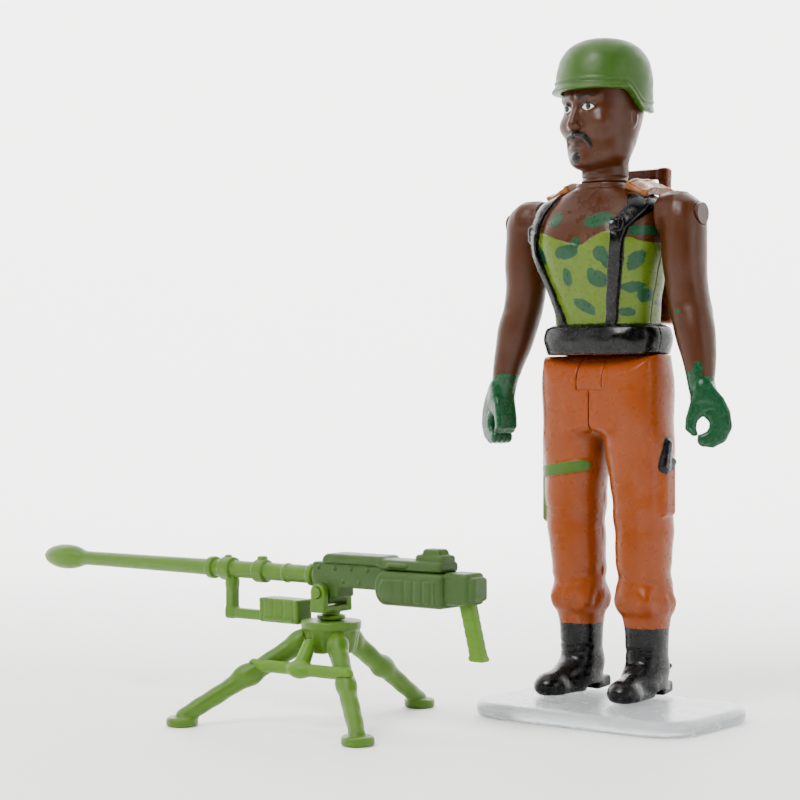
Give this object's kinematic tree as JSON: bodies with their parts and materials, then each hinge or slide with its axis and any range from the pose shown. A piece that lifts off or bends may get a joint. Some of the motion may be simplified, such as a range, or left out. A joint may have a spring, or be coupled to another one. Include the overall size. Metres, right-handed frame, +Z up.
{
  "type": "action figure",
  "caption": "Small jointed soldier figure standing on a clear plate, with lift-off helmet, peg-on pack, gripping hands, and a toy gun that swivels on its own tripod.",
  "frame": {"origin": "centre of the clear stand's bottom face, on the surface that it stands on", "axes": "+Z up, the figure faces -Y, the figure's left is +X"},
  "size_m": [0.0779, 0.047, 0.0729],
  "materials": {
    "clear_plastic": "milky clear, glossy",
    "figure_plastic": "dark brown, satin, with hand-painted details",
    "trouser_plastic": "orange brown, satin, with painted boots",
    "green_plastic": "soft olive green, slightly translucent",
    "pack_plastic": "dark brown, glossy",
    "strap_plastic": "painted tan",
    "screw_steel": "zinc plated"
  },
  "bodies": {
    "stand": {"stand_plate": "clear_plastic"},
    "torso": {"torso_front": "figure_plastic", "torso_back": "figure_plastic", "torso_screw": "screw_steel", "left_shoulder_pin": "figure_plastic", "right_shoulder_pin": "figure_plastic", "hip_axle": "screw_steel"},
    "head": {"head": "figure_plastic", "neck_peg": "figure_plastic"},
    "helmet": {"helmet": "green_plastic"},
    "left_arm": {"left_arm": "figure_plastic"},
    "right_arm": {"right_arm": "figure_plastic"},
    "left_leg": {"left_leg": "trouser_plastic"},
    "right_leg": {"right_leg": "trouser_plastic"},
    "pack": {"backpack": "pack_plastic", "pack_frame": "pack_plastic", "pack_straps": "strap_plastic"},
    "tripod": {"tripod_hub": "green_plastic", "tripod_leg_left": "green_plastic", "tripod_leg_near": "green_plastic", "tripod_leg_far": "green_plastic", "tripod_crossbar": "green_plastic"},
    "yoke": {"gun_yoke": "green_plastic", "trunnion_pin": "green_plastic"},
    "gun": {"gun_receiver": "green_plastic", "gun_cover": "green_plastic", "gun_barrel": "green_plastic", "ammo_bracket": "green_plastic", "ammo_box": "green_plastic", "gun_grip": "green_plastic"}
  },
  "joints": [
    {"name": "figure_lift", "type": "slide", "parent": "stand", "child": "torso", "axis": [0, 0, 1], "range_m": [0, 0.01]},
    {"name": "head_turn", "type": "hinge", "parent": "torso", "child": "head", "pos_m": [-0.0028, 0.0032, 0.05682], "axis": [0, 0, 1], "continuous": true},
    {"name": "helmet_lift", "type": "slide", "parent": "head", "child": "helmet", "axis": [0, 0, 1], "range_m": [0, 0.012]},
    {"name": "left_shoulder_swing", "type": "hinge", "parent": "torso", "child": "left_arm", "pos_m": [0.007, 0.0032, 0.05342], "axis": [-1, 0, 0], "continuous": true},
    {"name": "right_shoulder_swing", "type": "hinge", "parent": "torso", "child": "right_arm", "pos_m": [-0.0126, 0.0032, 0.05342], "axis": [-1, 0, 0], "continuous": true},
    {"name": "left_hip_swing", "type": "hinge", "parent": "torso", "child": "left_leg", "pos_m": [0.0012, 0.003, 0.03572], "axis": [-1, 0, 0], "range_deg": [0, 90]},
    {"name": "right_hip_swing", "type": "hinge", "parent": "torso", "child": "right_leg", "pos_m": [-0.0068, 0.003, 0.03572], "axis": [-1, 0, 0], "range_deg": [0, 25]},
    {"name": "pack_off", "type": "slide", "parent": "torso", "child": "pack", "axis": [0, 1, 0], "range_m": [0, 0.01]},
    {"name": "tripod_slide", "type": "slide", "parent": "stand", "child": "tripod", "axis": [-1, 0, 0], "range_m": [0, 0.02]},
    {"name": "gun_swivel", "type": "hinge", "parent": "tripod", "child": "yoke", "pos_m": [-0.0206, -0.0215, 0.0109], "axis": [0, 0, 1], "range_deg": [-20, 12]},
    {"name": "gun_elevation", "type": "hinge", "parent": "yoke", "child": "gun", "pos_m": [-0.0206, -0.0215, 0.0139], "axis": [0, 1, 0], "range_deg": [-3, 18]}
  ]
}
